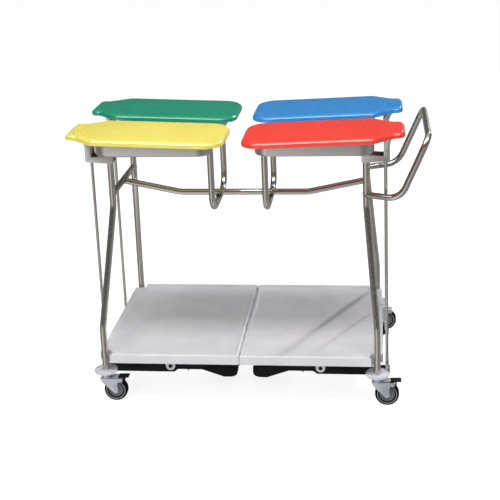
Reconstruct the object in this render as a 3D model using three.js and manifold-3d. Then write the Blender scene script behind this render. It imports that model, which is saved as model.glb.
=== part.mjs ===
// Laundry sorter on wheels: a bent-tube trolley that carries four bag rings, each closed by its own
// coloured lid, over two shelf trays. Each lid is raised by a foot pedal through a push rod.
// Millimetres, +Z up. The trolley is drawn about its own mirror planes and then shifted along X,
// so that the origin lies under the middle of the whole object, on the floor.
import * as THREE from 'three';
import { mergeVertices } from 'three/addons/utils/BufferGeometryUtils.js';
import Module from 'manifold-3d';

// ---- Driving dimensions ------------------------------------------------------------------------
const GAP = 0.3; // between pieces that touch
const TUBE_R = 11;
const TUBE_WALL = 1.5;
const TUBE_SIDES = 12;
const BORE_SIDES = 8;

// Legs: foot, splayed middle and upright top, as half distances from the two mirror planes.
const FOOT = { x: 461, y: 290, z: 106.3 };
const KNEE_Z = 263.5;
const SHOULDER_Z = 657;
const LEG_TOP = { x: 428.5, y: 161.5, z: 893 };
const LEG_BEND_R = 90;

// Centre beam and the two U-shaped tubes welded under it.
const CROSS_Z = 698;
const BEAM_END_Z = 694;
const BEAM_MID_Z = 652;
const BEAM_BEND_X = 226;
const U_X = 91;
const U_ARM_Y = 145;
const U_TOP_Z = 884;
const U_BEND_R = 60;

// Push handle on the right-hand legs.
const HANDLE = { z: 693, bendX: 539.5, bendY: 207.5, gripX: 631, gripY: 203, gripZ: 900 };
const HANDLE_BENDS = [66, 38, 38, 66];

// Lids: bottom edge height falls towards the middle of the trolley.
const LID = {
  inner: 28, outer: 555.5, centreY: 169, half: 136, tailHalf: 79.5, shoulderX: 450, neckX: 524,
  cornerR: 68, tailR: 27, height: 20.4, edgeR: 10, wall: 3, lowZ: 890, slope: 0.0368,
};
const lidBottomZ = (x) => LID.lowZ + LID.slope * (Math.abs(x) - LID.inner);
const lidUndersideZ = (x) => lidBottomZ(x) + LID.height - LID.wall;

// Bag rings: steel bands that the lids close on, with a welded tab to each tube that carries them.
const RING = {
  inner: 70.5, outer: 457, centreY: 167.5, half: 108, innerR: 46, outerR: 50, wall: 3, z: 857,
};
const TAB = { half: 8, low: 861, high: 879 };

// Lid hinge, lift arm and push rod.
const HINGE = { x: 510, z: 903 };
const PIN_R = 4;
const LID_TRAVEL = THREE.MathUtils.degToRad(75);
const LIFT_ARM = 17;
const LIFT = 2 * LIFT_ARM * Math.sin(LID_TRAVEL / 2); // rod travel for a full opening
const LIFT_PIN = {
  x: HINGE.x - LIFT_ARM * Math.cos(LID_TRAVEL / 2),
  z: HINGE.z - LIFT / 2,
  r: 2.5,
};
const ROD = { x: 494, y: 154, r: 5 };

// Hinge bracket: a folded steel box at the leg's top, with a channel that rises to the hinge.
// Its floor rises outwards and the upper edge of its sides falls outwards.
const BRACKET = {
  inner: 414, outer: 507, nearY: 131, farY: 185, sheet: 3, strip: 20,
  innerZ: 809, outerZ: 816, innerLipZ: 839, outerLipZ: 833, flareZ: 866, webZ: 879,
};

// Pedals.
const PEDAL_PIVOT = { x: 264, z: 64 };
const PEDAL = { near: 142, far: 166, padNear: 100, tip: 27, end: 484, wall: 4 };

// Shelf trays and the frame under them.
const SHELF = { half: 480, depth: 304, top: 173.4, low: 141, floor: 169, wall: 3, rim: 14, notchR: 24 };
const BASE = { low: 140.6, high: 165.7, endX: 430, railY: 272, width: 26, gusset: 6.3 };

// Casters.
const WHEEL = { r: 40, half: 12, trail: 31.5, coreR: 30, facets: 18 };
const DISC = { r: 39, low: 106.3, high: 114 };
const FORK = { roofLow: 81.2, roofTop: 83.4, headR: 17.5, headTop: 103.1, rearX: 57 };
const BRAKE = { pivotX: 24, half: 12.5, footX: 79 };

const SIDES = [['left', -1], ['right', 1]];
const DEPTHS = [['front', -1], ['rear', 1]];
const LID_COLOURS = {
  front_left: 0xf0dc62, front_right: 0xf24a38, rear_left: 0x0f9a72, rear_right: 0x3a8ad2,
};

// The grip's outer side and the left lids' tails are the two ends of the trolley.
const FRAME_SHIFT = (HANDLE.gripX + TUBE_R - LID.outer) / 2;

// ---- Solids ------------------------------------------------------------------------------------
const wasm = await Module();
wasm.setup();

function positionsOnly(geometry) {
  const bare = geometry.clone();
  bare.deleteAttribute('normal');
  bare.deleteAttribute('uv');
  return mergeVertices(bare, 1e-4);
}

function toSolid(geometry) {
  const bare = positionsOnly(geometry);
  return new wasm.Manifold(new wasm.Mesh({
    numProp: 3,
    vertProperties: new Float32Array(bare.attributes.position.array),
    triVerts: new Uint32Array(bare.index.array),
  }));
}

function toGeometry(solid) {
  const mesh = solid.getMesh();
  const geometry = new THREE.BufferGeometry();
  geometry.setAttribute('position', new THREE.BufferAttribute(new Float32Array(mesh.vertProperties), 3));
  geometry.setIndex(new THREE.BufferAttribute(new Uint32Array(mesh.triVerts), 1));
  return geometry;
}

const union = (...geometries) => toGeometry(
  geometries.map(toSolid).reduce((whole, piece) => whole.add(piece)),
);

function cut(geometry, ...tools) {
  return toGeometry(tools.map(toSolid).reduce((whole, tool) => whole.subtract(tool), toSolid(geometry)));
}

// Mirrors a geometry into another quarter of the trolley, keeping its faces outward.
function mirrored(geometry, sideX, sideY) {
  const copy = positionsOnly(geometry).scale(sideX, sideY, 1);
  if (sideX * sideY < 0) {
    const index = copy.index;
    for (let i = 0; i < index.count; i += 3) {
      const first = index.getX(i);
      index.setX(i, index.getX(i + 1));
      index.setX(i + 1, first);
    }
  }
  return copy;
}

const box = (x0, x1, y0, y1, z0, z1) => new THREE.BoxGeometry(x1 - x0, y1 - y0, z1 - z0)
  .translate((x0 + x1) / 2, (y0 + y1) / 2, (z0 + z1) / 2);

const cylinderZ = (x, y, r, z0, z1, sides = 12) => new THREE.CylinderGeometry(r, r, z1 - z0, sides)
  .rotateX(Math.PI / 2).translate(x, y, (z0 + z1) / 2);

const cylinderY = (x, z, r, y0, y1, sides = 10) => new THREE.CylinderGeometry(r, r, y1 - y0, sides)
  .translate(x, (y0 + y1) / 2, z);

// A sheet or block whose outline lies in the X-Z plane and which is thick along Y.
function plateXZ(shape, y0, y1, segments = 2) {
  const settings = { depth: y1 - y0, bevelEnabled: false, curveSegments: segments };
  return new THREE.ExtrudeGeometry(shape, settings).rotateX(Math.PI / 2).translate(0, y1, 0);
}

const plateXY = (shape, z0, z1, segments = 6) => new THREE.ExtrudeGeometry(
  shape, { depth: z1 - z0, bevelEnabled: false, curveSegments: segments },
).translate(0, 0, z0);

const polygon = (points) => new THREE.Shape(points.map(([x, y]) => new THREE.Vector2(x, y)));

const ringPoints = (r, sides) => Array.from({ length: sides }, (_, i) => {
  const turn = (2 * Math.PI * i) / sides;
  return new THREE.Vector2(r * Math.cos(turn), r * Math.sin(turn));
});

// ---- Bent tubes --------------------------------------------------------------------------------
// A path through given stations: straight between them, so an extrusion steps exactly from one to the next.
class StationPath extends THREE.Curve {
  constructor(stations) {
    super();
    this.stations = stations;
  }

  getPoint(t, target = new THREE.Vector3()) {
    const last = this.stations.length - 1;
    const place = Math.min(t * last, last - 1e-9);
    const i = Math.floor(place);
    return target.lerpVectors(this.stations[i], this.stations[i + 1], place - i);
  }

  getPointAt(u, target) {
    return this.getPoint(u, target);
  }

  getTangentAt(u, target = new THREE.Vector3()) {
    const last = this.stations.length - 1;
    const i = Math.round(u * last);
    const before = this.stations[Math.max(i, 1)].clone().sub(this.stations[Math.max(i, 1) - 1]).normalize();
    const j = Math.min(i, last - 1);
    const after = this.stations[j + 1].clone().sub(this.stations[j]).normalize();
    return target.copy(before.add(after).normalize());
  }
}

// Stations along straight runs joined by circular bends at the inner corners.
function bentRun(corners, radii, steps = 3) {
  const points = corners.map((corner) => new THREE.Vector3(...corner));
  const stations = [points[0]];
  for (let i = 1; i < points.length - 1; i += 1) {
    const radius = Array.isArray(radii) ? radii[i - 1] : radii;
    const before = points[i].clone().sub(points[i - 1]).normalize();
    const after = points[i + 1].clone().sub(points[i]).normalize();
    const turn = before.angleTo(after);
    const start = points[i].clone().addScaledVector(before, -radius * Math.tan(turn / 2));
    const inward = after.clone().addScaledVector(before, -Math.cos(turn)).normalize();
    for (let k = 0; k <= steps; k += 1) {
      const angle = (turn * k) / steps;
      stations.push(start.clone()
        .addScaledVector(before, radius * Math.sin(angle))
        .addScaledVector(inward, radius * (1 - Math.cos(angle))));
    }
  }
  stations.push(points[points.length - 1]);
  return new StationPath(stations);
}

function rod(path, radius, wall = 0) {
  const section = new THREE.Shape(ringPoints(radius, TUBE_SIDES));
  if (wall > 0) {
    section.holes.push(new THREE.Path(ringPoints(radius - wall, BORE_SIDES).reverse()));
  }
  return new THREE.ExtrudeGeometry(section, {
    steps: path.stations.length - 1, extrudePath: path, bevelEnabled: false,
  });
}

const tube = (path) => rod(path, TUBE_R, TUBE_WALL);
const tubeClearance = (path) => rod(path, TUBE_R + GAP);

const legPath = bentRun([
  [FOOT.x, FOOT.y, FOOT.z], [FOOT.x, FOOT.y, KNEE_Z],
  [LEG_TOP.x, LEG_TOP.y, SHOULDER_Z], [LEG_TOP.x, LEG_TOP.y, LEG_TOP.z],
], LEG_BEND_R);

const uPath = (x) => bentRun([
  [x, -U_ARM_Y, U_TOP_Z], [x, -U_ARM_Y, BEAM_MID_Z - 2 * TUBE_R - GAP],
  [x, U_ARM_Y, BEAM_MID_Z - 2 * TUBE_R - GAP], [x, U_ARM_Y, U_TOP_Z],
], U_BEND_R, 4);

const crossPath = (side) => bentRun([
  [side * LEG_TOP.x, -LEG_TOP.y, CROSS_Z], [side * LEG_TOP.x, LEG_TOP.y, CROSS_Z],
], 0);

function crossTube(side) {
  const legs = DEPTHS.map(([, sy]) => mirrored(tubeClearance(legPath), side, sy));
  return cut(tube(crossPath(side)), ...legs);
}

function centreBeam() {
  const path = bentRun([
    [-LEG_TOP.x, 0, BEAM_END_Z], [-BEAM_BEND_X, 0, BEAM_MID_Z],
    [BEAM_BEND_X, 0, BEAM_MID_Z], [LEG_TOP.x, 0, BEAM_END_Z],
  ], 120);
  const ends = SIDES.map(([, sx]) => tubeClearance(crossPath(sx)));
  const beyond = SIDES.map(([, sx]) => box(0, 60, -40, 40, -40, 40)
    .translate(sx > 0 ? LEG_TOP.x : -LEG_TOP.x - 60, 0, CROSS_Z));
  return cut(tube(path), ...ends, ...beyond);
}

function pushHandle() {
  const path = bentRun([
    [LEG_TOP.x, -LEG_TOP.y, HANDLE.z], [HANDLE.bendX, -HANDLE.bendY, HANDLE.z],
    [HANDLE.gripX, -HANDLE.gripY, HANDLE.gripZ], [HANDLE.gripX, HANDLE.gripY, HANDLE.gripZ],
    [HANDLE.bendX, HANDLE.bendY, HANDLE.z], [LEG_TOP.x, LEG_TOP.y, HANDLE.z],
  ], HANDLE_BENDS);
  const legs = DEPTHS.map(([, sy]) => mirrored(tubeClearance(legPath), 1, sy));
  const insideLegs = DEPTHS.map(([, sy]) => box(-30, 0, -24, 24, -24, 24)
    .translate(LEG_TOP.x, sy * LEG_TOP.y, HANDLE.z));
  return cut(tube(path), ...legs, ...insideLegs, tubeClearance(crossPath(1)));
}

// ---- Bag rings and lids ------------------------------------------------------------------------
function ringOutline(inset) {
  const left = RING.inner + inset;
  const right = RING.outer - inset;
  const half = RING.half - inset;
  const innerR = RING.innerR - inset;
  const outerR = RING.outerR - inset;
  const path = new THREE.Path();
  path.moveTo(left + innerR, -half);
  path.lineTo(right - outerR, -half);
  path.absarc(right - outerR, -half + outerR, outerR, -Math.PI / 2, 0);
  path.absarc(right - outerR, half - outerR, outerR, 0, Math.PI / 2);
  path.absarc(left + innerR, half - innerR, innerR, Math.PI / 2, Math.PI);
  path.absarc(left + innerR, -half + innerR, innerR, Math.PI, 1.5 * Math.PI);
  return path.getPoints(3);
}

// The band's lower edge is level and its upper edge follows the underside of the lid.
function bagRing() {
  const shape = new THREE.Shape(ringOutline(0));
  shape.holes.push(new THREE.Path(ringOutline(RING.wall).reverse()));
  const geometry = plateXY(shape, 0, 1).translate(0, RING.centreY, 0);
  const position = geometry.attributes.position;
  for (let i = 0; i < position.count; i += 1) {
    const top = lidUndersideZ(position.getX(i)) - 2 * GAP;
    position.setZ(i, position.getZ(i) > 0.5 ? top : RING.z);
  }
  const { half, low, high } = TAB;
  const uTab = box(RING.inner + 1, U_X - TUBE_R - GAP, U_ARM_Y - half, U_ARM_Y + half, low, high);
  const legTab = box(
    LEG_TOP.x + TUBE_R + GAP, RING.outer - 1, LEG_TOP.y - half, LEG_TOP.y + half, low, high,
  );
  return union(geometry, uTab, legTab);
}

function lidOutline() {
  const { inner, outer, half, tailHalf, shoulderX, neckX, cornerR, tailR } = LID;
  const reach = (neckX - shoulderX) * 0.12;
  const shape = new THREE.Shape();
  shape.moveTo(inner + cornerR, -half);
  shape.lineTo(shoulderX, -half);
  shape.bezierCurveTo(shoulderX + reach, -half, neckX - reach, -tailHalf, neckX, -tailHalf);
  shape.lineTo(outer - tailR, -tailHalf);
  shape.absarc(outer - tailR, -tailHalf + tailR, tailR, -Math.PI / 2, 0);
  shape.absarc(outer - tailR, tailHalf - tailR, tailR, 0, Math.PI / 2);
  shape.lineTo(neckX, tailHalf);
  shape.bezierCurveTo(neckX - reach, tailHalf, shoulderX + reach, half, shoulderX, half);
  shape.lineTo(inner + cornerR, half);
  shape.absarc(inner + cornerR, half - cornerR, cornerR, Math.PI / 2, Math.PI);
  shape.absarc(inner + cornerR, -half + cornerR, cornerR, Math.PI, 1.5 * Math.PI);
  return shape;
}

// A pillow of the lid's outline with rounded edges, of which only the upper half is kept.
function lidPillow(top, edge, inset) {
  const depth = 2 * top - 2 * edge;
  return new THREE.ExtrudeGeometry(lidOutline(), {
    depth,
    curveSegments: 2,
    bevelThickness: edge,
    bevelSize: edge,
    bevelOffset: -edge - inset,
    bevelSegments: 2,
  }).translate(0, LID.centreY, edge - top);
}

function lid() {
  const { height, edgeR, wall, inner, outer } = LID;
  const below = box(inner - 50, outer + 50, LID.centreY - 200, LID.centreY + 200, -60, 0);
  const shell = cut(
    lidPillow(height, edgeR, 0),
    lidPillow(height - wall, edgeR - wall, wall),
    below,
  );
  const position = shell.attributes.position;
  for (let i = 0; i < position.count; i += 1) {
    position.setZ(i, position.getZ(i) + lidBottomZ(position.getX(i)));
  }
  return shell;
}

// ---- Lid hinge ---------------------------------------------------------------------------------
function bracketSide() {
  const { inner, outer, strip, innerZ, outerZ, innerLipZ, outerLipZ, flareZ, webZ } = BRACKET;
  const knuckleR = 8;
  const stripX = outer - strip;
  const shape = new THREE.Shape();
  shape.moveTo(inner, innerZ);
  shape.lineTo(outer, outerZ);
  shape.lineTo(outer, flareZ);
  shape.quadraticCurveTo(outer + 1, HINGE.z - 18, HINGE.x + knuckleR, HINGE.z - 7);
  shape.lineTo(HINGE.x + knuckleR, HINGE.z);
  shape.absarc(HINGE.x, HINGE.z, knuckleR, 0, Math.PI);
  shape.lineTo(HINGE.x - knuckleR, HINGE.z - 8);
  shape.lineTo(stripX, webZ - 4);
  shape.lineTo(stripX, outerLipZ + 5);
  shape.lineTo(stripX - 4, outerLipZ + 1);
  shape.lineTo(inner + 4, innerLipZ);
  shape.lineTo(inner, innerLipZ - 4);
  return shape;
}

function hingeBracket() {
  const { inner, outer, nearY, farY, innerZ, outerZ, webZ, sheet } = BRACKET;
  const side = bracketSide();
  const floor = polygon([
    [inner, innerZ], [outer, outerZ], [outer, outerZ + sheet], [inner, innerZ + sheet],
  ]);
  const whole = union(
    plateXZ(side, nearY, nearY + sheet),
    plateXZ(side, farY - sheet, farY),
    plateXZ(floor, nearY, farY),
    box(outer - sheet, outer, nearY, farY, outerZ, webZ),
  );
  const folded = cut(
    whole,
    cylinderZ(LEG_TOP.x, LEG_TOP.y, TUBE_R + GAP, innerZ - 5, innerZ + 15, TUBE_SIDES),
    cylinderZ(ROD.x, ROD.y, ROD.r + 2, outerZ - 8, outerZ + 8, 12),
  );
  return union(folded, cylinderY(HINGE.x, HINGE.z, PIN_R, nearY - 3, farY + 3, 12));
}

// Two cheeks that hang from a plate under the lid: they turn on the hinge pin and carry the lift pin.
function liftArm() {
  const plate = { x0: 461, x1: 520, y0: 136, y1: 180, sheet: 3 };
  const cheekGap = 3.4;
  const cheek = 3;
  const top = (x) => lidUndersideZ(x) - GAP;
  const slab = plateXZ(polygon([
    [plate.x0, top(plate.x0) - plate.sheet], [plate.x1, top(plate.x1) - plate.sheet],
    [plate.x1, top(plate.x1)], [plate.x0, top(plate.x0)],
  ]), plate.y0, plate.y1);
  const outline = new THREE.Shape();
  outline.moveTo(472, top(472) - 1);
  outline.lineTo(LIFT_PIN.x - 5.5, LIFT_PIN.z);
  outline.absarc(LIFT_PIN.x, LIFT_PIN.z, 5.5, Math.PI, 1.6 * Math.PI);
  outline.absarc(HINGE.x, HINGE.z, 8, 1.65 * Math.PI, 2.05 * Math.PI);
  outline.lineTo(518, top(518) - 1);
  const near = plateXZ(outline, ROD.y - cheekGap - cheek, ROD.y - cheekGap);
  const far = plateXZ(outline, ROD.y + cheekGap, ROD.y + cheekGap + cheek);
  const pinHalf = cheekGap + cheek + 1.5;
  const pin = cylinderY(LIFT_PIN.x, LIFT_PIN.z, LIFT_PIN.r, ROD.y - pinHalf, ROD.y + pinHalf);
  const hubEnd = BRACKET.sheet + 1;
  const hub = cylinderY(HINGE.x, HINGE.z, 5.9, BRACKET.nearY + hubEnd, BRACKET.farY - hubEnd);
  const bore = cylinderY(HINGE.x, HINGE.z, PIN_R + GAP, BRACKET.nearY - 5, BRACKET.farY + 5);
  return cut(union(slab, near, far, hub, pin), bore);
}

// The rod's flat top end has a level slot, which lets the lift pin swing while the rod stays upright.
const SLOT = { left: 489.8, right: 499.8, half: 3.1 };
const CLEVIS = { low: 56.5, bridge: 82, high: 98, half: 6, cheekIn: 4, cheekOut: 7 };

function pushRod() {
  const eye = { left: 486.6, right: 502.4, low: LIFT_PIN.z - 14, high: LIFT_PIN.z + 8, half: 2.6 };
  const shaft = cylinderZ(ROD.x, ROD.y, ROD.r, CLEVIS.high + GAP, eye.low + 4, 12);
  const shape = polygon([
    [ROD.x - ROD.r, eye.low], [ROD.x + ROD.r, eye.low], [eye.right, eye.low + 5],
    [eye.right, eye.high], [eye.left, eye.high], [eye.left, eye.low + 5],
  ]);
  const slot = box(
    SLOT.left, SLOT.right, ROD.y - 10, ROD.y + 10, LIFT_PIN.z - SLOT.half, LIFT_PIN.z + SLOT.half,
  );
  return cut(union(shaft, plateXZ(shape, ROD.y - eye.half, ROD.y + eye.half)), slot);
}

function rodClevis() {
  const { low, bridge, high, half, cheekIn, cheekOut } = CLEVIS;
  const block = box(ROD.x - half, ROD.x + half, ROD.y - cheekOut, ROD.y + cheekOut, low + 6, high);
  const foot = cylinderY(ROD.x, PEDAL_PIVOT.z - 1, half, ROD.y - cheekOut, ROD.y + cheekOut);
  const gap = box(ROD.x - 20, ROD.x + 20, ROD.y - cheekIn, ROD.y + cheekIn, low - 10, bridge);
  const pin = cylinderY(ROD.x, PEDAL_PIVOT.z, 3, ROD.y - cheekOut - 2, ROD.y + cheekOut + 2, 12);
  return union(cut(union(block, foot), gap), pin);
}

// ---- Pedals ------------------------------------------------------------------------------------
function pedalOutline(startX) {
  const { tip, end } = PEDAL;
  const shape = new THREE.Shape();
  shape.moveTo(tip, 62);
  shape.lineTo(tip, 44);
  shape.quadraticCurveTo(tip, 24, 58, 23.6);
  shape.lineTo(76, 23.6);
  shape.lineTo(startX, 50.3);
  if (startX < 200) {
    shape.lineTo(238, 50.3);
    shape.lineTo(252, 39.8);
    shape.lineTo(end, 39.8);
    shape.lineTo(end, 66);
    shape.lineTo(PEDAL_PIVOT.x + 34, 66);
    shape.quadraticCurveTo(PEDAL_PIVOT.x + 14, 78, PEDAL_PIVOT.x, 78);
    shape.quadraticCurveTo(PEDAL_PIVOT.x - 14, 78, PEDAL_PIVOT.x - 34, 66);
  }
  shape.lineTo(startX + 30, 62);
  return shape;
}

// A moulded channel: two side walls under a top web, with a wide pad at the foot end, cross ribs,
// a pivot boss, and a tongue at the other end that sits in the rod's clevis.
function pedal() {
  const { near, far, padNear, tip, end, wall } = PEDAL;
  const slantEnd = 153;
  const outline = pedalOutline(slantEnd);
  const pad = polygon([[tip, 62], [tip, 44], [34, 32], [58, 23.6], [76, 23.6], [150, 50.3], [150, 62]]);
  const ribs = [200, 330, end - wall].map((x) => box(x, x + wall, near, far, 45, 62));
  const whole = union(
    plateXZ(outline, far - wall, far),
    plateXZ(outline, near, near + wall),
    plateXZ(pad, padNear, padNear + wall),
    box(tip, slantEnd, padNear, far, 58, 62),
    box(tip, tip + wall, padNear, far, 44, 62),
    box(tip, PEDAL_PIVOT.x - 34, near, far, 58, 62),
    box(PEDAL_PIVOT.x - 40, end, near, far, 58, 62),
    cylinderY(PEDAL_PIVOT.x, PEDAL_PIVOT.z, 9, near, far),
    box(end - wall, ROD.x + 9, ROD.y - 3, ROD.y + 3, 43, 71),
    box(end - wall, ROD.x + 9, near + 4, far - 4, 43, 53.5),
    ...ribs,
  );
  return cut(
    whole,
    cylinderY(PEDAL_PIVOT.x, PEDAL_PIVOT.z, PIN_R + GAP, near - 5, far + 5),
    cylinderY(ROD.x, PEDAL_PIVOT.z, 4.4, ROD.y - 10, ROD.y + 10),
  );
}

// Plates that hang the pedal's pivot pin from the base frame, one on each side of the pedal.
const HANGER = { nearY: 138.2, farY: 166.8, sheet: 3, r: 16.5 };

function hanger() {
  const { x, z } = PEDAL_PIVOT;
  const shape = new THREE.Shape();
  shape.moveTo(x - HANGER.r, z);
  shape.absarc(x, z, HANGER.r, Math.PI, 2 * Math.PI);
  shape.lineTo(x + 26, BASE.high - 2);
  shape.lineTo(x - 26, BASE.high - 2);
  const bore = cylinderY(x, z, PIN_R + GAP, 100, 200);
  return [HANGER.nearY, HANGER.farY].map((y) => cut(plateXZ(shape, y, y + HANGER.sheet), bore));
}

// ---- Shelf and base frame ----------------------------------------------------------------------
function shelfTray(side) {
  const { half, depth, top, low, floor, wall, rim, notchR } = SHELF;
  const joint = 1;
  const edge = 4;
  const outline = polygon([[joint, -depth], [half, -depth], [half, depth], [joint, depth]]);
  const slab = new THREE.ExtrudeGeometry(outline, {
    depth: top - low - edge,
    bevelThickness: edge,
    bevelSize: edge,
    bevelOffset: -edge,
    bevelSegments: 2,
  }).translate(0, 0, low);
  const corners = DEPTHS.map(([, sy]) => [FOOT.x, sy * FOOT.y]);
  const cavity = cut(
    box(joint - 10, half - wall, -depth + wall, depth - wall, low - 20, floor - wall),
    ...corners.map(([x, y]) => cylinderZ(x, y, notchR + wall, low - 30, top + 10, 24)),
  );
  const recess = cut(
    box(joint + rim, half - rim, -depth + rim, depth - rim, floor, top + 10),
    ...corners.map(([x, y]) => cylinderZ(x, y, notchR + rim, low - 30, top + 20, 24)),
  );
  const below = box(joint - 10, half + 10, -depth - 10, depth + 10, low - 40, low);
  const slots = [-100, 250].map((y) => box(joint - 5, joint + 3, y, y + 56, top - 8, top + 10));
  const tray = cut(
    slab, below, cavity, recess,
    ...corners.map(([x, y]) => cylinderZ(x, y, notchR, low - 30, top + 10, 24)),
    ...slots,
  );
  return mirrored(tray, side, 1);
}

// Square tubes under the trays, with a corner gusset that reaches each leg.
function baseFrame() {
  const { low, high, endX, railY, width, gusset } = BASE;
  const rails = [railY, ROD.y].flatMap((y) => [y, -y]).map(
    (y) => box(-endX + width, endX - width, y - width / 2, y + width / 2, low, high),
  );
  const bars = [-endX + width / 2, 0, endX - width / 2].map(
    (x) => box(x - width / 2, x + width / 2, -railY - width / 2 + 6, railY + width / 2 - 6, low, high),
  );
  const gussets = SIDES.flatMap(([, sx]) => DEPTHS.map(([, sy]) => mirrored(plateXY(polygon([
    [endX - 60, railY - 8], [endX - 4, railY - 60],
    [FOOT.x, FOOT.y - 14], [FOOT.x, FOOT.y], [FOOT.x - 14, FOOT.y],
  ]), low - gusset, low + 0.1), sx, sy)));
  const bolts = [-12, 12].map((offset) => cylinderY(
    PEDAL_PIVOT.x + offset, high - 12, 6, HANGER.farY + HANGER.sheet - 1, HANGER.farY + HANGER.sheet + 4, 6,
  ));
  const hangers = SIDES.flatMap(([, sx]) => DEPTHS.flatMap(
    ([, sy]) => [...hanger(), ...bolts].map((piece) => mirrored(piece, sx, sy)),
  ));
  const legs = SIDES.flatMap(([, sx]) => DEPTHS.map(
    ([, sy]) => cylinderZ(sx * FOOT.x, sy * FOOT.y, TUBE_R + GAP, low - 30, low + 40, TUBE_SIDES),
  ));
  return cut(union(...rails, ...bars, ...gussets, ...hangers), ...legs);
}

// One long axle on each side carries the front and the rear pedal.
function pedalShaft(side) {
  const { x, z } = PEDAL_PIVOT;
  const collarY = HANGER.farY + HANGER.sheet + GAP + 1.5;
  const collars = [-collarY, collarY].map((y) => cylinderY(side * x, z, 6.5, y - 1.5, y + 1.5, 12));
  return union(cylinderY(side * x, z, PIN_R, -collarY, collarY, 12), ...collars);
}

// ---- Casters -----------------------------------------------------------------------------------
// A turned piece: the profile is [radius, height] pairs about the Z axis.
const turned = (profile, sides = 12) => new THREE.LatheGeometry(
  profile.map(([r, z]) => new THREE.Vector2(r, z)), sides,
).rotateX(Math.PI / 2);

// The bumper disc sits round the leg's foot and is one piece with the stem that is pressed into the
// leg and with the kingpin that the fork turns on.
function casterMount() {
  const { r, low, high } = DISC;
  const bore = TUBE_R + GAP + 0.2;
  const floor = low - GAP;
  return turned([
    [0, 76.5], [8, 76.5], [8, 80.9], [5, 80.9], [5, floor - 2.5], [r - 6, floor - 2.5], [r, low + 2],
    [r, high - 3], [r - 4, high], [bore, high], [bore, floor], [8.4, floor], [8.4, 138], [0, 138],
  ], 12);
}

// Two cheeks under a level roof, with a round head on top that turns on the kingpin.
function fork() {
  const { roofLow, roofTop, headR, headTop, rearX } = FORK;
  const frontX = -19;
  const cheekIn = WHEEL.half + 1.5;
  const cheekOut = cheekIn + 2.5;
  const axle = { x: WHEEL.trail, z: WHEEL.r };
  const endR = 9.5;
  const shape = new THREE.Shape();
  shape.moveTo(frontX, roofTop);
  shape.lineTo(frontX + 1, 78);
  shape.lineTo(axle.x - endR - 1, axle.z - 4);
  shape.absarc(axle.x, axle.z - 1.5, endR, 1.1 * Math.PI, 2 * Math.PI);
  shape.lineTo(38, 62);
  shape.quadraticCurveTo(38, 70, 46, 70.5);
  shape.lineTo(rearX - 2, 71);
  shape.lineTo(rearX + 1, 76);
  shape.lineTo(rearX, roofTop);
  const roof = box(frontX, rearX, -cheekOut, cheekOut, roofLow, roofTop);
  const head = turned([
    [5.4, roofLow], [headR, roofLow], [headR, headTop - 5], [headR - 3, headTop],
    [5.4, headTop], [5.4, roofLow],
  ]);
  const bolt = cylinderY(axle.x, axle.z, 4, -cheekOut - 1, cheekOut + 1, 12);
  const nuts = [-cheekOut - 1.2, cheekOut + 1.2].map(
    (y) => cylinderY(axle.x, axle.z, 5.5, y - 2, y + 2, 6),
  );
  const whole = union(
    plateXZ(shape, cheekIn, cheekOut),
    plateXZ(shape, -cheekOut, -cheekIn),
    roof, bolt, ...nuts,
  );
  return union(cut(whole, cylinderZ(0, 0, 5.4, roofLow - 5, roofTop + 5)), head);
}

function wheel() {
  const { r, half, coreR, facets, trail } = WHEEL;
  const flatR = r / Math.cos(Math.PI / facets);
  const nearSide = [
    [4.4, -half], [11, -half], [coreR - 3, -half + 3], [flatR - 5, -half], [flatR, -half + 4],
  ];
  const farSide = nearSide.map(([radius, y]) => [radius, -y]).reverse();
  const profile = [...nearSide, ...farSide, nearSide[0]].map(([radius, y]) => new THREE.Vector2(radius, y));
  return new THREE.LatheGeometry(profile, facets, Math.PI / facets).translate(trail, 0, r);
}

// A flat foot lever above the roof, with a pad that hangs behind the roof over the tyre.
function brakeLever() {
  const { pivotX, half, footX } = BRAKE;
  const padX = FORK.rearX + 1.7;
  const lever = polygon([
    [pivotX - 4, 84], [padX - 2, 86.2], [footX, 86.6], [footX, 90.2], [footX - 5, 91], [padX - 3, 90],
    [pivotX, 88.6], [pivotX - 4, 87],
  ]);
  return union(plateXZ(lever, -half, half), box(padX, padX + 5.5, -8, 8, 73.4, 88));
}

// ---- Materials and assembly --------------------------------------------------------------------
const finish = (color, roughness, metalness) => ({ color, roughness, metalness });
const STEEL = finish(0xb9b5ac, 0.32, 0.95);
const ZINC = finish(0xa6adb6, 0.45, 0.8);
const SHELF_GREY = finish(0xcccccf, 0.4, 0);
const BLACK = finish(0x121214, 0.5, 0);
const BUMPER_GREY = finish(0xbfbfc4, 0.5, 0);
const TYRE = finish(0x1c1e20, 0.7, 0);

const trolley = new THREE.Group();
trolley.position.x = -FRAME_SHIFT;

function place(name, geometry, look, parent = trolley) {
  const flat = positionsOnly(geometry).toNonIndexed();
  flat.computeVertexNormals();
  const mesh = new THREE.Mesh(flat, new THREE.MeshStandardMaterial(look));
  mesh.name = name;
  parent.add(mesh);
  return mesh;
}

const quarterParts = {
  leg: [tube(legPath), () => STEEL],
  bag_ring: [bagRing(), () => STEEL],
  hinge_bracket: [hingeBracket(), () => STEEL],
  lid: [lid(), (quarter) => finish(LID_COLOURS[quarter], 0.22, 0)],
  lift_arm: [liftArm(), () => ZINC],
  push_rod: [pushRod(), () => STEEL],
  rod_clevis: [rodClevis(), () => ZINC],
  pedal: [pedal(), () => BLACK],
};

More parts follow.
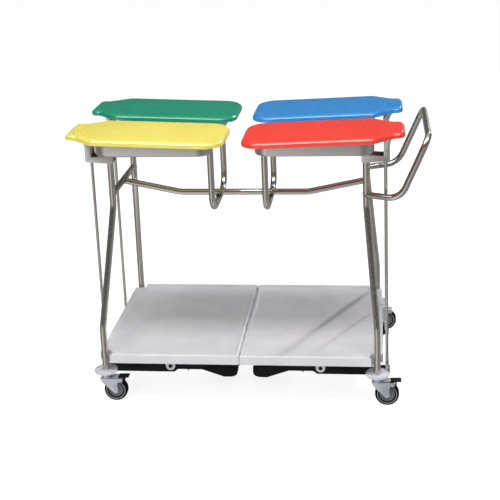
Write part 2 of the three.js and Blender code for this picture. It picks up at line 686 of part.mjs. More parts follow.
for (const [sideName, sx] of SIDES) {
  for (const [depthName, sy] of DEPTHS) {
    const quarter = `${depthName}_${sideName}`;
    for (const [part, [geometry, look]] of Object.entries(quarterParts)) {
      place(`${part}_${quarter}`, mirrored(geometry, sx, sy), look(quarter));
    }
    const caster = new THREE.Group();
    caster.position.set(sx * FOOT.x, sy * FOOT.y, 0);
    trolley.add(caster);
    place(`caster_fork_${quarter}`, fork(), ZINC, caster);
    place(`caster_wheel_${quarter}`, wheel(), TYRE, caster);
    if (depthName === 'front') {
      place(`caster_brake_${quarter}`, brakeLever(), BLACK, caster);
    }
    place(`caster_mount_${quarter}`, casterMount(), BUMPER_GREY, caster);
  }
  place(`cross_tube_${sideName}`, crossTube(sx), STEEL);
  place(`ring_support_${sideName}`, tube(uPath(sx * U_X)), STEEL);
  place(`shelf_tray_${sideName}`, shelfTray(sx), SHELF_GREY);
  place(`pedal_shaft_${sideName}`, pedalShaft(sx), ZINC);
}

place('centre_beam', centreBeam(), STEEL);
place('push_handle', pushHandle(), STEEL);
place('base_frame', baseFrame(), ZINC);
export default trolley;
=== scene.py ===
"""Looks of the laundry sorter on wheels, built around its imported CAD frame.

Shapes are given in millimetres in the trolley's own frame, whose X = 0 and Y = 0 planes are its
mirror planes, and are moved to the row frame in metres when they become a piece.
"""

import math

import bmesh
import bpy
import numpy as np
from mathutils import Matrix, Vector


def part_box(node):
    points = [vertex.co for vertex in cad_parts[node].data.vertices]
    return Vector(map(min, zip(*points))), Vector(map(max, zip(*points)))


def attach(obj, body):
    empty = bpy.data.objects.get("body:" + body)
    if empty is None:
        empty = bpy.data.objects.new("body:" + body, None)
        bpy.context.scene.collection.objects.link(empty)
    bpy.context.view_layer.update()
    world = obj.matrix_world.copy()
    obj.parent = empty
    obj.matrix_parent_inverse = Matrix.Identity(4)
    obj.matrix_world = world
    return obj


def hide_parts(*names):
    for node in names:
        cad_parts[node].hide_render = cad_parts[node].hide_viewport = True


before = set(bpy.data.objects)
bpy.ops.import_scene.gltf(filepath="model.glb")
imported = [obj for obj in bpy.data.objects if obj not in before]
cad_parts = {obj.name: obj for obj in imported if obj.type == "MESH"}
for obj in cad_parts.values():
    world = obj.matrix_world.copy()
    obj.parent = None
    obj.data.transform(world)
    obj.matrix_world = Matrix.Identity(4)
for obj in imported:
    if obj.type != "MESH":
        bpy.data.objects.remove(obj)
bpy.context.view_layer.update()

MM = 0.001
beam_low, beam_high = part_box("centre_beam")
MIDDLE = np.array([(beam_low.x + beam_high.x) / 2, 0.0, 0.0])

SIDES = {"left": -1, "right": 1}
DEPTHS = {"front": -1, "rear": 1}
QUARTERS = [(f"{depth}_{side}", sx, sy) for side, sx in SIDES.items() for depth, sy in DEPTHS.items()]

# ---- Sizes that the pieces share, in millimetres ----
GAP = 0.3
TUBE_R, TUBE_WALL = 11, 1.5
# Legs: (X, Y) of the upright foot and of the upright top, with the splayed stretch between two heights.
FOOT, LEG_TOP = (461, 290), (428.5, 161.5)
LEG_LOW_Z, KNEE_Z, SHOULDER_Z, LEG_HIGH_Z, LEG_BEND_R = 106.3, 263.5, 657, 893, 90
# Cross tubes, drooping centre beam and the U-tubes welded under it.
CROSS_Z, BEAM_END_Z, BEAM_MID_Z, BEAM_BEND_X, BEAM_BEND_R = 698, 694, 652, 226, 120
U_X, U_ARM_Y, U_TOP_Z, U_BEND_R = 91, 145, 884, 60
U_LOW_Z = BEAM_MID_Z - 2 * TUBE_R - GAP
# Push handle: its two bends on each side, as (X, Y, Z), and the bends' radii.
HANDLE_Z = 693
HANDLE_BEND, HANDLE_GRIP = (539.5, 207.5, HANDLE_Z), (631, 203, 900)
HANDLE_BEND_R, GRIP_BEND_R = 66, 38
# Lids and bag rings of the right-hand rear quarter.
LID_INNER, LID_OUTER, LID_Y, LID_HALF, LID_HEIGHT, LID_WALL = 28, 555.5, 169, 136, 20.4, 3
LID_LOW_Z, LID_SLOPE = 890, 0.0368
RING_INNER, RING_OUTER, RING_Y, RING_HALF, RING_LOW = 70.5, 457, 167.5, 108, 857
RING_INNER_R, RING_OUTER_R = 46, 50
RING_TAB_HALF, RING_TAB_LOW, RING_TAB_HIGH = 8, 861, 879
# Pivots as (X, Z), and the push rod's (X, Y).
HINGE, LIFT_PIN, PEDAL_PIVOT = (510, 903), (496.51, 892.65), (264, 64)
ROD, ROD_R = (494, 154), 5
# A caster's axle as (X, Z), drawn about its swivel axis.
AXLE = (31.5, 40)


def lid_bottom(x):
    """Height of a closed lid's lower edge, which falls towards the trolley's middle."""
    return LID_LOW_Z + LID_SLOPE * (abs(x) - LID_INNER)


def lid_underside(x):
    """Height of the inner face of a closed lid's top."""
    return lid_bottom(x) + LID_HEIGHT - LID_WALL


# ---- Shapes: (points in mm, faces) ----
def joined(*shapes):
    """Several closed shapes as one."""
    points, faces, start = [], [], 0
    for shape_points, shape_faces in shapes:
        points.append(np.asarray(shape_points, float).reshape(-1, 3))
        faces += [tuple(i + start for i in face) for face in shape_faces]
        start += len(points[-1])
    return np.vstack(points), faces


def moved(shape, x=0, y=0, z=0):
    """The shape somewhere else."""
    return shape[0] + np.array([x, y, z], float), shape[1]


def mirrored(shape, sx, sy):
    """The shape in another quarter of the trolley, with its faces still outward."""
    points = shape[0] * np.array([sx, sy, 1.0])
    faces = [face[::-1] for face in shape[1]] if sx * sy < 0 else shape[1]
    return points, faces


def softened(points, faces, radius, least_angle=25):
    """A closed shape with its sharp edges rounded."""
    if radius <= 0:
        return np.asarray(points, float), faces
    bm = bmesh.new()
    verts = [bm.verts.new(p) for p in points]
    for face in faces:
        bm.faces.new([verts[i] for i in face])
    bmesh.ops.recalc_face_normals(bm, faces=bm.faces)
    sharp = [e for e in bm.edges if e.calc_face_angle(0) > math.radians(least_angle)]
    bmesh.ops.bevel(
        bm, geom=sharp, offset=radius, segments=2, profile=0.6, affect="EDGES", clamp_overlap=True,
    )
    bm.verts.index_update()
    result = (
        np.array([v.co for v in bm.verts]),
        [tuple(v.index for v in face.verts) for face in bm.faces],
    )
    bm.free()
    return result


def prism(outline, low, high, axis="z", radius=0.8):
    """An outline made thick: in the X-Y plane along Z, in the X-Z plane along Y, or in Y-Z along X."""
    n = len(outline)
    place = {
        "z": lambda a, b, t: (a, b, t),
        "y": lambda a, b, t: (a, t, b),
        "x": lambda a, b, t: (t, a, b),
    }[axis]
    points = [place(a, b, t) for t in (low, high) for a, b in outline]
    faces = [tuple(range(n)), tuple(range(2 * n - 1, n - 1, -1))]
    faces += [(i, (i + 1) % n, n + (i + 1) % n, n + i) for i in range(n)]
    return softened(points, faces, radius)


def block(x0, x1, y0, y1, z0, z1, radius=0.8):
    """A box with rounded edges."""
    return prism([(x0, y0), (x1, y0), (x1, y1), (x0, y1)], z0, z1, "z", radius)


def turned(profile, axis="z", sides=40, centre=(0, 0, 0)):
    """A closed profile of (radius, height) pairs turned about Z, or about Y; the ends may touch the axis."""
    rings, points = [], []
    for r, h in profile:
        if r < 1e-6:
            rings.append([len(points)] * sides)
            points.append((0, 0, h))
            continue
        rings.append(list(range(len(points), len(points) + sides)))
        for k in range(sides):
            turn = 2 * math.pi * k / sides
            points.append((r * math.cos(turn), r * math.sin(turn), h))
    closed = profile[0][0] > 1e-6 or profile[-1][0] > 1e-6
    faces = []
    spans = list(zip(rings, rings[1:])) + ([(rings[-1], rings[0])] if closed else [])
    for a, b in spans:
        for k in range(sides):
            corners = [a[k], a[(k + 1) % sides], b[(k + 1) % sides], b[k]]
            kept = tuple(dict.fromkeys(corners))
            if len(kept) > 2:
                faces.append(kept)
    points = np.array(points, float)
    if axis == "y":
        points = points[:, [0, 2, 1]] * np.array([1, 1, -1.0])
    return points + np.array(centre, float), faces


def disc_y(x, z, r, y0, y1, edge=0.6, sides=32):
    """A solid cylinder along Y with softened rims."""
    return turned(
        [(0, y0), (r - edge, y0), (r, y0 + edge), (r, y1 - edge), (r - edge, y1), (0, y1)],
        "y", sides, (x, 0, z),
    )


def disc_z(x, y, r, z0, z1, edge=0.6, sides=32):
    """A solid cylinder along Z with softened rims."""
    return turned(
        [(0, z0), (r - edge, z0), (r, z0 + edge), (r, z1 - edge), (r - edge, z1), (0, z1)],
        "z", sides, (x, y, 0),
    )


def bent(corners, radii, steps=10):
    """Points along straight runs joined by circular bends."""
    corners = [np.array(c, float) for c in corners]
    radii = radii if isinstance(radii, (list, tuple)) else [radii] * (len(corners) - 2)
    path = [corners[0]]
    for before, corner, after, radius in zip(corners, corners[1:], corners[2:], radii):
        a = (corner - before) / np.linalg.norm(corner - before)
        b = (after - corner) / np.linalg.norm(after - corner)
        turn = math.acos(np.clip(a @ b, -1, 1))
        start = corner - a * radius * math.tan(turn / 2)
        inward = b - a * math.cos(turn)
        inward /= np.linalg.norm(inward)
        for k in range(steps + 1):
            angle = turn * k / steps
            path.append(start + a * radius * math.sin(angle) + inward * radius * (1 - math.cos(angle)))
    path.append(corners[-1])
    return np.array(path)


def swept(path, radius, wall=0.0, sides=24, closed=False):
    """A round section carried along a path: solid, or a tube with an open bore."""
    path = np.asarray(path, float)
    count = len(path)
    ahead = np.roll(path, -1, 0) - path
    if not closed:
        ahead[-1] = ahead[-2]
    behind = np.roll(ahead, 1, 0)
    if not closed:
        behind[0] = ahead[0]
    tangent = ahead / np.linalg.norm(ahead, axis=1)[:, None]
    tangent = tangent + behind / np.linalg.norm(behind, axis=1)[:, None]
    tangent /= np.linalg.norm(tangent, axis=1)[:, None]
    side = np.cross(tangent[0], [0, 0, 1] if abs(tangent[0][2]) < 0.9 else [1, 0, 0])
    side /= np.linalg.norm(side)
    radii = np.broadcast_to(np.asarray(radius, float), (count,))
    skins = [radii] if wall <= 0 else [radii, radii - wall]
    rings = [[] for _ in skins]
    for i in range(count):
        side = side - tangent[i] * (side @ tangent[i])
        side /= np.linalg.norm(side)
        up = np.cross(tangent[i], side)
        for skin, ring in zip(skins, rings):
            for k in range(sides):
                turn = 2 * math.pi * k / sides
                ring.append(path[i] + skin[i] * (side * math.cos(turn) + up * math.sin(turn)))
    faces = []
    for s in range(len(skins)):
        base = s * count * sides
        for i in range(count if closed else count - 1):
            j = (i + 1) % count
            for k in range(sides):
                m = (k + 1) % sides
                near, far = base + i * sides, base + j * sides
                quad = (near + k, near + m, far + m, far + k)
                faces.append(quad if s == 0 else quad[::-1])
    last = (count - 1) * sides
    if not closed and wall <= 0:
        faces.append(tuple(range(sides))[::-1])
        faces.append(tuple(range(last, last + sides)))
    if not closed and wall > 0:
        inner = count * sides
        for k in range(sides):
            m = (k + 1) % sides
            faces.append((m, k, inner + k, inner + m))
            faces.append((last + k, last + m, inner + last + m, inner + last + k))
    return np.vstack([np.array(ring) for ring in rings]), faces


def lofted(loops, close_profile=False, cap_first=False, cap_last=False):
    """Faces between loops that have the same number of points."""
    n = len(loops[0])
    points = np.vstack([np.asarray(loop, float) for loop in loops])
    pairs = [(i, i + 1) for i in range(len(loops) - 1)]
    if close_profile:
        pairs.append((len(loops) - 1, 0))
    faces = []
    for a, b in pairs:
        for k in range(n):
            m = (k + 1) % n
            faces.append((a * n + k, a * n + m, b * n + m, b * n + k))
    if cap_first:
        faces.append(tuple(range(n))[::-1])
    if cap_last:
        faces.append(tuple(range((len(loops) - 1) * n, len(loops) * n)))
    return points, faces


def arc(cx, cy, r, start, end, steps):
    """Points of an arc in degrees, both ends included."""
    turns = np.radians(np.linspace(start, end, steps + 1))
    return [(cx + r * math.cos(t), cy + r * math.sin(t)) for t in turns]


def bezier(p0, p1, p2, p3, steps):
    """Points of a plane cubic curve, both ends included."""
    result = []
    for t in np.linspace(0, 1, steps + 1):
        weights = ((1 - t) ** 3, 3 * t * (1 - t) ** 2, 3 * t * t * (1 - t), t ** 3)
        result.append(tuple(sum(w * p[i] for w, p in zip(weights, (p0, p1, p2, p3))) for i in (0, 1)))
    return result


# ---- Pieces ----
SHARP_ANGLE = math.radians(32)


def piece(name, shape, body, material, nodes=()):
    """A mesh object made of the shape, riding on a body and standing for CAD nodes."""
    points, faces = shape
    mesh = bpy.data.meshes.new(name)
    mesh.from_pydata([tuple(p) for p in points * MM + MIDDLE], [], faces)
    bm = bmesh.new()
    bm.from_mesh(mesh)
    bmesh.ops.remove_doubles(bm, verts=bm.verts, dist=1e-6)
    bmesh.ops.dissolve_degenerate(bm, edges=bm.edges, dist=1e-7)
    bmesh.ops.recalc_face_normals(bm, faces=bm.faces)
    bm.to_mesh(mesh)
    bm.free()
    mesh.shade_smooth()
    mesh.set_sharp_from_angle(angle=SHARP_ANGLE)
    obj = bpy.data.objects.new(name, mesh)
    bpy.context.scene.collection.objects.link(obj)
    mesh.materials.append(material)
    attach(obj, body)
    if nodes:
        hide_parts(*nodes)
    return obj


# ---- Materials ----
class Look:
    """A node material under construction, with short calls for the nodes it needs."""

    def __init__(self, name, **settings):
        self.material = bpy.data.materials.new(name)
        self.material.use_nodes = True
        self.nodes = self.material.node_tree.nodes
        self.links = self.material.node_tree.links
        self.shader = self.nodes["Principled BSDF"]
        for socket, value in settings.items():
            self.shader.inputs[socket.replace("_", " ")].default_value = value
        self.place = self.nodes.new("ShaderNodeTexCoord").outputs["Object"]

    def stretched(self, scale):
        """Object coordinates scaled per axis, to draw a pattern out along one of them."""
        mapping = self.nodes.new("ShaderNodeMapping")
        mapping.inputs["Scale"].default_value = scale
        self.links.new(self.place, mapping.inputs["Vector"])
        return mapping.outputs["Vector"]

    def noise(self, scale, detail=4.0, vector=None, roughness=0.55):
        node = self.nodes.new("ShaderNodeTexNoise")
        node.inputs["Scale"].default_value = scale
        node.inputs["Detail"].default_value = detail
        node.inputs["Roughness"].default_value = roughness
        self.links.new(vector or self.place, node.inputs["Vector"])
        return node.outputs["Fac"]

    def cells(self, scale, vector=None):
        node = self.nodes.new("ShaderNodeTexVoronoi")
        node.inputs["Scale"].default_value = scale
        self.links.new(vector or self.place, node.inputs["Vector"])
        return node.outputs["Distance"]

    def edges(self):
        """High on outer edges, about 0.5 on flat faces."""
        return self.nodes.new("ShaderNodeNewGeometry").outputs["Pointiness"]

    def mapped(self, value, low, high, new_low, new_high):
        node = self.nodes.new("ShaderNodeMapRange")
        node.inputs["From Min"].default_value = low
        node.inputs["From Max"].default_value = high
        node.inputs["To Min"].default_value = new_low
        node.inputs["To Max"].default_value = new_high
        self.links.new(value, node.inputs["Value"])
        return node.outputs["Result"]

    def mixed(self, factor, first, second):
        node = self.nodes.new("ShaderNodeMix")
        node.data_type = "RGBA"
        self.links.new(factor, node.inputs["Factor"])
        for socket, colour in ((node.inputs[6], first), (node.inputs[7], second)):
            if isinstance(colour, tuple):
                socket.default_value = (*colour, 1.0)
            else:
                self.links.new(colour, socket)
        return node.outputs[2]

    def coloured(self, colour):
        self.links.new(colour, self.shader.inputs["Base Color"])
        return self

    def rough(self, value):
        self.links.new(value, self.shader.inputs["Roughness"])
        return self

    def bumped(self, *heights):
        """Bumps of (height, strength, distance in mm), each on top of the one before."""
        normal = None
        for height, strength, distance in heights:
            node = self.nodes.new("ShaderNodeBump")
            node.inputs["Strength"].default_value = strength
            node.inputs["Distance"].default_value = distance * MM
            self.links.new(height, node.inputs["Height"])
            if normal:
                self.links.new(normal, node.inputs["Normal"])
            normal = node.outputs["Normal"]
        self.links.new(normal, self.shader.inputs["Normal"])
        return self


def linear(r, g, b):
    """Scene-linear values of an sRGB colour."""
    return tuple(c / 12.92 if c <= 0.04045 else ((c + 0.055) / 1.055) ** 2.4 for c in (r, g, b))


def shaded(colour, factor):
    """The colour made lighter or darker."""
    return tuple(min(1.0, c * factor) for c in colour)


def satin_steel(name, colour, grain, roughness=0.27):
    """Polished stainless tube or sheet with a faint grain that runs along it."""
    look = Look(name, Metallic=1.0)
    lines = look.noise(1.0, 3.0, look.stretched(grain))
    patches = look.noise(9.0, 3.0)
    tone = look.mixed(look.mapped(lines, 0.35, 0.65, 0.0, 1.0), shaded(colour, 0.93), shaded(colour, 1.05))
    smear = look.mixed(look.mapped(patches, 0.45, 0.75, 0.0, 0.2), tone, shaded(colour, 0.9))
    look.coloured(smear)
    look.rough(look.mapped(lines, 0.3, 0.7, roughness - 0.05, roughness + 0.07))
    look.bumped((lines, 0.08, 0.02), (patches, 0.02, 0.2))
    return look.material


def zinc(name, colour):
    """Plated steel: a dull spangle with brighter worn edges."""
    look = Look(name, Metallic=0.85)
    spangle = look.cells(260.0)
    cloud = look.noise(35.0, 5.0)
    base = look.mixed(look.mapped(spangle, 0.0, 0.9, 0.0, 1.0), shaded(colour, 0.88), shaded(colour, 1.05))
    dull = look.mixed(look.mapped(cloud, 0.4, 0.7, 0.0, 0.5), base, shaded(colour, 0.78))
    worn = look.mixed(look.mapped(look.edges(), 0.52, 0.6, 0.0, 0.6), dull, shaded(colour, 1.25))
    look.coloured(worn)
    look.rough(look.mapped(cloud, 0.3, 0.7, 0.3, 0.46))
    look.bumped((spangle, 0.08, 0.05), (cloud, 0.1, 0.2))
    return look.material


def glossy(name, colour, roughness=0.2):
    """Injection-moulded gloss plastic: faint flow clouds, fine orange peel and rubbed edges."""
    look = Look(name, Specular_IOR_Level=0.6)
    clouds = look.noise(6.0, 3.0)
    peel = look.noise(420.0, 2.0)
    scuffs = look.noise(1.0, 5.0, look.stretched((60.0, 900.0, 900.0)))
    base = look.mixed(look.mapped(clouds, 0.35, 0.65, 0.0, 1.0), shaded(colour, 0.95), shaded(colour, 1.04))
    rubbed = look.mixed(
        look.mapped(look.edges(), 0.53, 0.62, 0.0, 0.3), base, tuple(0.75 * c + 0.18 for c in colour),
    )
    look.coloured(rubbed)
    look.rough(look.mapped(scuffs, 0.45, 0.8, roughness, roughness + 0.14))
    look.bumped((peel, 0.06, 0.04), (clouds, 0.05, 0.6))
    return look.material


def grained(name, colour, roughness, grain=900.0, depth=0.05, wear=1.6, gloss=0.45):
    """Moulded plastic with a fine spark-eroded grain and paler rubbed edges."""
    look = Look(name, Specular_IOR_Level=gloss)
    fine = look.noise(grain, 4.0)
    clouds = look.noise(12.0, 4.0)
    base = look.mixed(look.mapped(clouds, 0.35, 0.7, 0.0, 1.0), shaded(colour, 0.94), shaded(colour, 1.06))
    speckled = look.mixed(look.mapped(fine, 0.5, 0.8, 0.0, 0.5), base, shaded(colour, 0.85))
    worn = look.mixed(look.mapped(look.edges(), 0.53, 0.62, 0.0, 0.5), speckled, shaded(colour, wear))
    look.coloured(worn)
    look.rough(look.mapped(fine, 0.3, 0.7, roughness - 0.05, roughness + 0.08))
    look.bumped((fine, 0.18, depth), (clouds, 0.05, 0.5))
    return look.material


def rubber(name, colour):
    """Tyre rubber, dusty on its tread."""
    look = Look(name, Specular_IOR_Level=0.08)
    fine = look.noise(700.0, 5.0)
    dust = look.noise(60.0, 6.0, roughness=0.7)
    base = look.mixed(look.mapped(fine, 0.3, 0.7, 0.0, 1.0), shaded(colour, 0.8), shaded(colour, 1.2))
    look.coloured(look.mixed(look.mapped(dust, 0.55, 0.8, 0.0, 0.3), base, linear(0.16, 0.16, 0.16)))
    look.rough(look.mapped(dust, 0.3, 0.8, 0.55, 0.8))
    look.bumped((fine, 0.25, 0.08), (dust, 0.1, 0.2))
    return look.material


STEEL_COLOUR = linear(0.77, 0.755, 0.73)
STEEL_UPRIGHT = satin_steel("steel_upright", STEEL_COLOUR, (700.0, 700.0, 14.0), 0.22)
STEEL_LENGTHWISE = satin_steel("steel_lengthwise", STEEL_COLOUR, (14.0, 700.0, 700.0), 0.22)
STEEL_CROSSWISE = satin_steel("steel_crosswise", STEEL_COLOUR, (700.0, 14.0, 700.0), 0.22)
STEEL_SHEET = satin_steel("steel_sheet", linear(0.79, 0.785, 0.78), (25.0, 25.0, 900.0), 0.36)
WELD = satin_steel("weld_bead", linear(0.62, 0.6, 0.57), (500.0, 500.0, 500.0), 0.42)
ZINC = zinc("zinc_plate", linear(0.78, 0.8, 0.84))
TRAY_GREY = grained("tray_grey", linear(0.83, 0.83, 0.845), 0.3, 1100.0, 0.02, 1.08)
BLACK = grained("black_plastic", linear(0.03, 0.03, 0.034), 0.45, 900.0, 0.06, 3.0, gloss=0.15)
BUMPER_GREY = grained("bumper_grey", linear(0.8, 0.8, 0.83), 0.42, 800.0, 0.04, 1.12)
CORE_GREY = grained("wheel_core_grey", linear(0.42, 0.435, 0.445), 0.4, 700.0, 0.05, 1.4, gloss=0.3)
LINE_GREY = grained("wheel_line_grey", linear(0.56, 0.575, 0.585), 0.45, 700.0, 0.04, 1.1)
TYRE = rubber("tyre_rubber", linear(0.035, 0.037, 0.042))
LID_LOOKS = {
    "front_left": ("lid_yellow", glossy("lid_yellow", linear(0.87, 0.815, 0.375))),
    "front_right": ("lid_red", glossy("lid_red", linear(0.885, 0.225, 0.17))),
    "rear_left": ("lid_green", glossy("lid_green", linear(0.01, 0.53, 0.405))),
    "rear_right": ("lid_blue", glossy("lid_blue", linear(0.17, 0.505, 0.76))),
}


# ---- Tube frame ----
def ripple(count, radius):
    """Bead radii that swell and thin a little, as a hand weld does."""
    return radius * (1 + 0.1 * np.sin(np.arange(count) * 2.1))


def tee_weld(end, host_axis, tube_axis, bead=1.7):
    """The bead where a tube butts another of the same size; end is the point where their axes meet."""
    host_axis, tube_axis = np.array(host_axis, float), np.array(tube_axis, float)
    across = np.cross(host_axis, tube_axis)
    turns = np.linspace(0, 2 * math.pi, 48, endpoint=False)
    path = [
        np.array(end, float) + across * TUBE_R * math.sin(t) + host_axis * TUBE_R * math.cos(t)
        + tube_axis * TUBE_R * abs(math.cos(t))
        for t in turns
    ]
    return swept(path, ripple(len(path), bead), sides=8, closed=True)


leg_path = bent([
    (*FOOT, LEG_LOW_Z), (*FOOT, KNEE_Z), (*LEG_TOP, SHOULDER_Z), (*LEG_TOP, LEG_HIGH_Z),
], LEG_BEND_R)
leg_shape = swept(leg_path, TUBE_R, TUBE_WALL)
# How deep the cross tubes, and then the beam and the handle, end inside the tubes they are welded to.
CROSS_END = LEG_TOP[1] - 4
TUBE_END_X = 3
SEAM_HALF, SEAM_R = 6.5, 2.2
SEAM_SWELL = np.array([0.5, 0.8, 1, 1, 1, 1, 1, 0.8, 0.5])
for side, sx in SIDES.items():
    u_path = bent([
        (sx * U_X, -U_ARM_Y, U_TOP_Z), (sx * U_X, -U_ARM_Y, U_LOW_Z),
        (sx * U_X, U_ARM_Y, U_LOW_Z), (sx * U_X, U_ARM_Y, U_TOP_Z),
    ], U_BEND_R)
    piece(f"ring_support_tube_{side}", swept(u_path, TUBE_R, TUBE_WALL), "trolley_frame",
          STEEL_UPRIGHT, [f"ring_support_{side}"])
    cross = swept([(sx * LEG_TOP[0], y, CROSS_Z) for y in (-CROSS_END, 0, CROSS_END)], TUBE_R)
    piece(f"cross_tube_smooth_{side}", cross, "trolley_frame",
          STEEL_CROSSWISE, [f"cross_tube_{side}"])
    beads = [
        tee_weld((sx * LEG_TOP[0], sy * LEG_TOP[1], CROSS_Z), (0, 0, 1), (0, -sy, 0)) for sy in (-1, 1)
    ]
    beads.append(tee_weld((sx * LEG_TOP[0], 0, (CROSS_Z + BEAM_END_Z) / 2), (0, 1, 0), (-sx, 0, 0)))
    for offset in (-1, 1):
        seam = [
            (sx * U_X + offset * (9.5 - 1.2 * abs(t)), SEAM_HALF * t, U_LOW_Z + TUBE_R - 1.5 + 0.4 * abs(t))
            for t in np.linspace(-1, 1, len(SEAM_SWELL))
        ]
        beads.append(swept(seam, ripple(len(SEAM_SWELL), SEAM_R) * SEAM_SWELL, sides=8))
    piece(f"frame_welds_{side}", joined(*beads), "trolley_frame", WELD)

beam_path = bent([
    (-LEG_TOP[0] + TUBE_END_X, 0, BEAM_END_Z), (-BEAM_BEND_X, 0, BEAM_MID_Z),
    (BEAM_BEND_X, 0, BEAM_MID_Z), (LEG_TOP[0] - TUBE_END_X, 0, BEAM_END_Z),
], BEAM_BEND_R)
piece("beam_smooth", swept(beam_path, TUBE_R), "trolley_frame",
      STEEL_LENGTHWISE, ["centre_beam"])

handle_half = [(LEG_TOP[0] + TUBE_END_X, LEG_TOP[1], HANDLE_Z), HANDLE_BEND, HANDLE_GRIP]
handle_path = bent(
    [(x, -y, z) for x, y, z in handle_half] + handle_half[::-1],
    [HANDLE_BEND_R, GRIP_BEND_R, GRIP_BEND_R, HANDLE_BEND_R],
)
piece("handle_smooth", swept(handle_path, TUBE_R), "trolley_frame",
      STEEL_LENGTHWISE, ["push_handle"])
piece("handle_welds", joined(*[
    tee_weld((LEG_TOP[0], sy * LEG_TOP[1], HANDLE_Z), (0, 0, 1), (0.92, sy * 0.38, 0)) for sy in (-1, 1)
]), "trolley_frame", WELD)


# ---- Bag rings and lids ----
def ring_outline(inset, steps=10):
    """Plan of a bag ring, about its own middle line."""
    left, right, half = RING_INNER + inset, RING_OUTER - inset, RING_HALF - inset
    inner_r, outer_r = RING_INNER_R - inset, RING_OUTER_R - inset
    return (
        arc(right - outer_r, -half + outer_r, outer_r, -90, 0, steps)
        + arc(right - outer_r, half - outer_r, outer_r, 0, 90, steps)
        + arc(left + inner_r, half - inner_r, inner_r, 90, 180, steps)
        + arc(left + inner_r, -half + inner_r, inner_r, 180, 270, steps)
    )


def bag_ring():
    """A sheet band with a rolled upper lip and a lower flange turned inwards."""
    from_top = [(0, -1.4), (0.6, -0.2), (1.5, 0), (2.4, -0.2), (3, -1.4)]
    from_low = [
        (3, 12), (3.6, 8), (5.4, 5), (8.5, 3.2), (12, 3), (12.6, 2.6), (12.6, 0.5), (12, 0),
        (8, 0), (4.6, 0.9), (2, 3.2), (0.5, 7), (0, 12),
    ]
    loops = [
        [(x, RING_Y + y, lid_underside(x) - 0.6 + dz) for x, y in ring_outline(inset)]
        for inset, dz in from_top
    ]
    loops += [
        [(x, RING_Y + y, RING_LOW + dz) for x, y in ring_outline(inset)] for inset, dz in from_low
    ]
    band = lofted(loops, close_profile=True)
    tabs = [
        block(x0, x1, y - RING_TAB_HALF, y + RING_TAB_HALF, RING_TAB_LOW, RING_TAB_HIGH)
        for x0, x1, y in (
            (RING_INNER + 1, U_X - TUBE_R - GAP, U_ARM_Y),
            (LEG_TOP[0] + TUBE_R + GAP, RING_OUTER - 1, LEG_TOP[1]),
        )
    ]
    return joined(band, *tabs)


def lid_outline(inset, steps=12):
    """Plan of a lid, whose points keep their order at every inset."""
    shoulder_x, neck_x, tail, corner_r, tail_r = 450, 524, 79.5, 68, 27
    straight_steps = 9
    reach = (neck_x - shoulder_x) * 0.12
    outline = [(x, -LID_HALF) for x in np.linspace(LID_INNER + corner_r, shoulder_x, straight_steps)[:-1]]
    outline += bezier(
        (shoulder_x, -LID_HALF), (shoulder_x + reach, -LID_HALF), (neck_x - reach, -tail), (neck_x, -tail),
        steps,
    )
    outline += arc(LID_OUTER - tail_r, -tail + tail_r, tail_r, -90, 0, steps)
    outline += [(LID_OUTER, y) for y in (-30, 0, 30)]
    outline += arc(LID_OUTER - tail_r, tail - tail_r, tail_r, 0, 90, steps)
    outline += bezier(
        (neck_x, tail), (neck_x - reach, tail), (shoulder_x + reach, LID_HALF), (shoulder_x, LID_HALF),
        steps,
    )
    outline += [(x, LID_HALF) for x in np.linspace(shoulder_x, LID_INNER + corner_r, straight_steps)[1:-1]]
    outline += arc(LID_INNER + corner_r, LID_HALF - corner_r, corner_r, 90, 180, steps)
    outline += [(LID_INNER, y) for y in (40, 0, -40)]
    outline += arc(LID_INNER + corner_r, -LID_HALF + corner_r, corner_r, 180, 270, steps)[:-1]
    points = np.array(outline)
    along = np.roll(points, -1, 0) - np.roll(points, 1, 0)
    along /= np.linalg.norm(along, axis=1)[:, None]
    return points + np.column_stack([-along[:, 1], along[:, 0]]) * inset


def lid_shell():
    """A hollow moulded lid: rounded edge, slightly crowned top and an open underside, whose ribs lid_ribs
    makes.
    """
    edge = [(0.8, 0.0), (0, 0.8), (0, 9.5), (0.3, 11.0), (1.0, 12.2), (3.2, 14.6), (5.6, 16.8), (7.4, 18.2),
            (9.0, 18.8), (11.0, 19.0)]
    crown = [0.06, 0.2, 0.45, 0.75, 0.97]
    inside = [(3, 5), (3, 9), (4.2, 12.4), (8, 15.4), (13, 16.5)]
    spine_low, spine_high = LID_INNER + LID_HALF * 0.8, LID_OUTER - 70

    def level(points, height):
        return [(x, LID_Y + y, lid_bottom(x) + height) for x, y in points]

    def towards_spine(points, share):
        spine = np.column_stack([np.clip(points[:, 0], spine_low, spine_high), np.zeros(len(points))])
        return points * (1 - share) + spine * share

    top_edge = lid_outline(edge[-1][0])
    low_edge = lid_outline(inside[-1][0])
    loops = [level(towards_spine(low_edge, share), 16.5 + 0.9 * share) for share in reversed(crown)]
    loops += [level(lid_outline(inset), height) for inset, height in reversed(inside)]
    loops += [level(lid_outline(2.2), 0.0)]
    loops += [level(lid_outline(inset), height) for inset, height in edge]
    loops += [level(towards_spine(top_edge, share), 19 + 1.4 * (1 - (1 - share) ** 2)) for share in crown]
    return lofted(loops, cap_first=True, cap_last=True)


def lid_ribs():
    """Low crossing ribs under the lid, inside the ring that it closes on."""
    start, end, depth, sunk = 120, 440, 6, 1
    side = [(start, lid_underside(start) - depth), (end, lid_underside(end) - depth),
            (end, lid_underside(end) + sunk), (start, lid_underside(start) + sunk)]
    ribs = [prism(side, LID_Y + y - 1, LID_Y + y + 1, "y", 0.5) for y in (-70, 70)]
    for x in (160, 250, 340):
        low, high = lid_underside(x) - depth, lid_underside(x) + sunk
        ribs.append(block(x - 1, x + 1, LID_Y - 92, LID_Y + 92, low, high, 0.5))
    return joined(*ribs)


